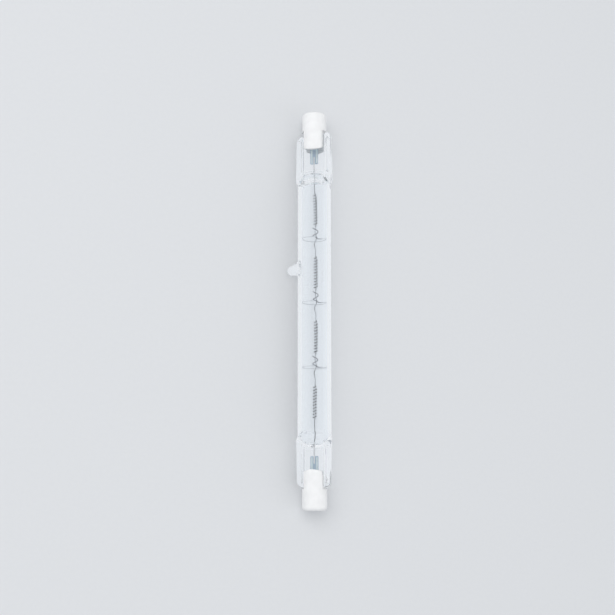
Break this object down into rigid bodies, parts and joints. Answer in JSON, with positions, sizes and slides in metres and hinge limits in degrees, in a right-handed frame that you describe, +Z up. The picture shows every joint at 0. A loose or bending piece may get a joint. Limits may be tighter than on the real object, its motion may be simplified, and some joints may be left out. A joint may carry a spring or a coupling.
{
  "type": "linear halogen bulb",
  "caption": "Double-ended tubular halogen bulb: clear quartz tube with a coiled filament, pressed seals and ceramic end caps with recessed contacts.",
  "frame": {"origin": "on the surface that the lamp lies on, under the middle of its footprint", "axes": "+Y along the tube towards cap a, +Z up, with the exhaust tip down on the negative side of X"},
  "size_m": [0.0124, 0.1176, 0.0098],
  "materials": {
    "quartz": "clear polished fused quartz",
    "tungsten": "drawn tungsten wire, dark grey",
    "molybdenum": "drawn molybdenum wire, grey",
    "foil": "thin rolled molybdenum foil, steel blue through the glass",
    "steatite": "unglazed white steatite, fine grain",
    "nickel": "turned nickel-plated contact",
    "cement": "dry white ceramic cement"
  },
  "bodies": {
    "root": {"quartz_envelope": "quartz", "filament": "tungsten", "filament_support_1": "tungsten", "filament_support_2": "tungsten", "filament_support_3": "tungsten", "inner_lead_a": "molybdenum", "inner_lead_b": "molybdenum", "molybdenum_foil_a": "foil", "molybdenum_foil_b": "foil", "outer_lead_a": "molybdenum", "outer_lead_b": "molybdenum", "ceramic_cap_a": "steatite", "ceramic_cap_b": "steatite", "contact_a": "nickel", "contact_b": "nickel", "cement_a": "cement", "cement_b": "cement"}
  },
  "joints": []
}
